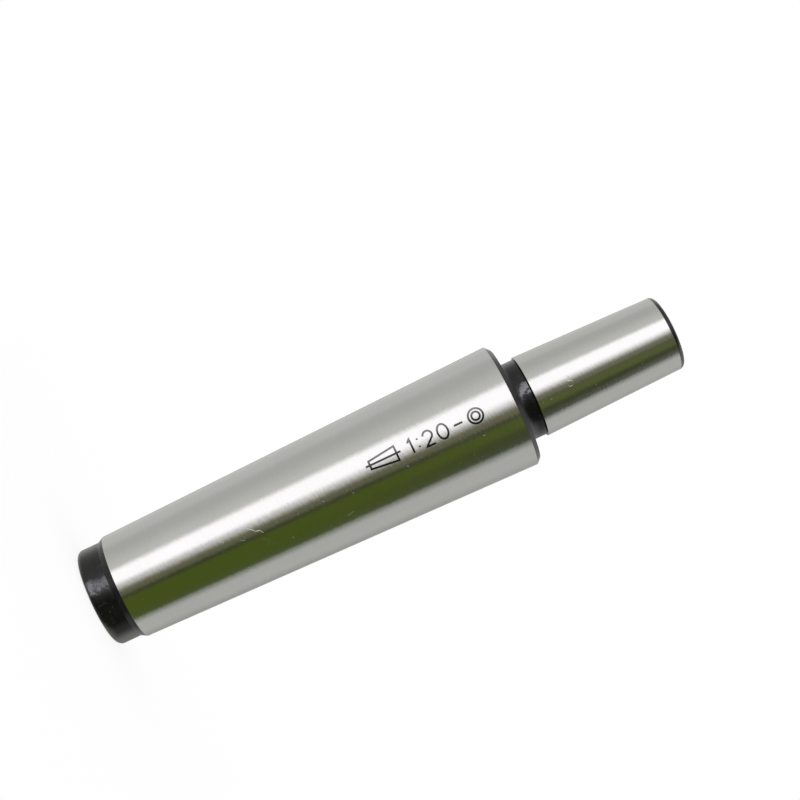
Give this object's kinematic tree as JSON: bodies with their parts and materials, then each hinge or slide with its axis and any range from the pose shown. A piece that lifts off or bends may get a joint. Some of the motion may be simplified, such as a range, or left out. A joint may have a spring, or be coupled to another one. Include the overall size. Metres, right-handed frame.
{
  "type": "drill chuck arbor",
  "caption": "Turned steel arbor with a long self-holding taper for a machine spindle, a threaded drawbar hole in its end, and a short taper that carries a drill chuck.",
  "frame": {"origin": "centre of the drawbar end face, on the arbor's axis", "axes": "+Z along the axis, from the drawbar end up to the tip of the chuck taper; X and Y are any two directions across the round bar"},
  "size_m": [0.024, 0.024, 0.1163],
  "materials": {
    "steel": "fine ground satin on both tapers; black oxide on the collar, the shoulder, the neck and the tip's rim and face"
  },
  "bodies": {
    "root": {"arbor": "steel"}
  },
  "joints": []
}
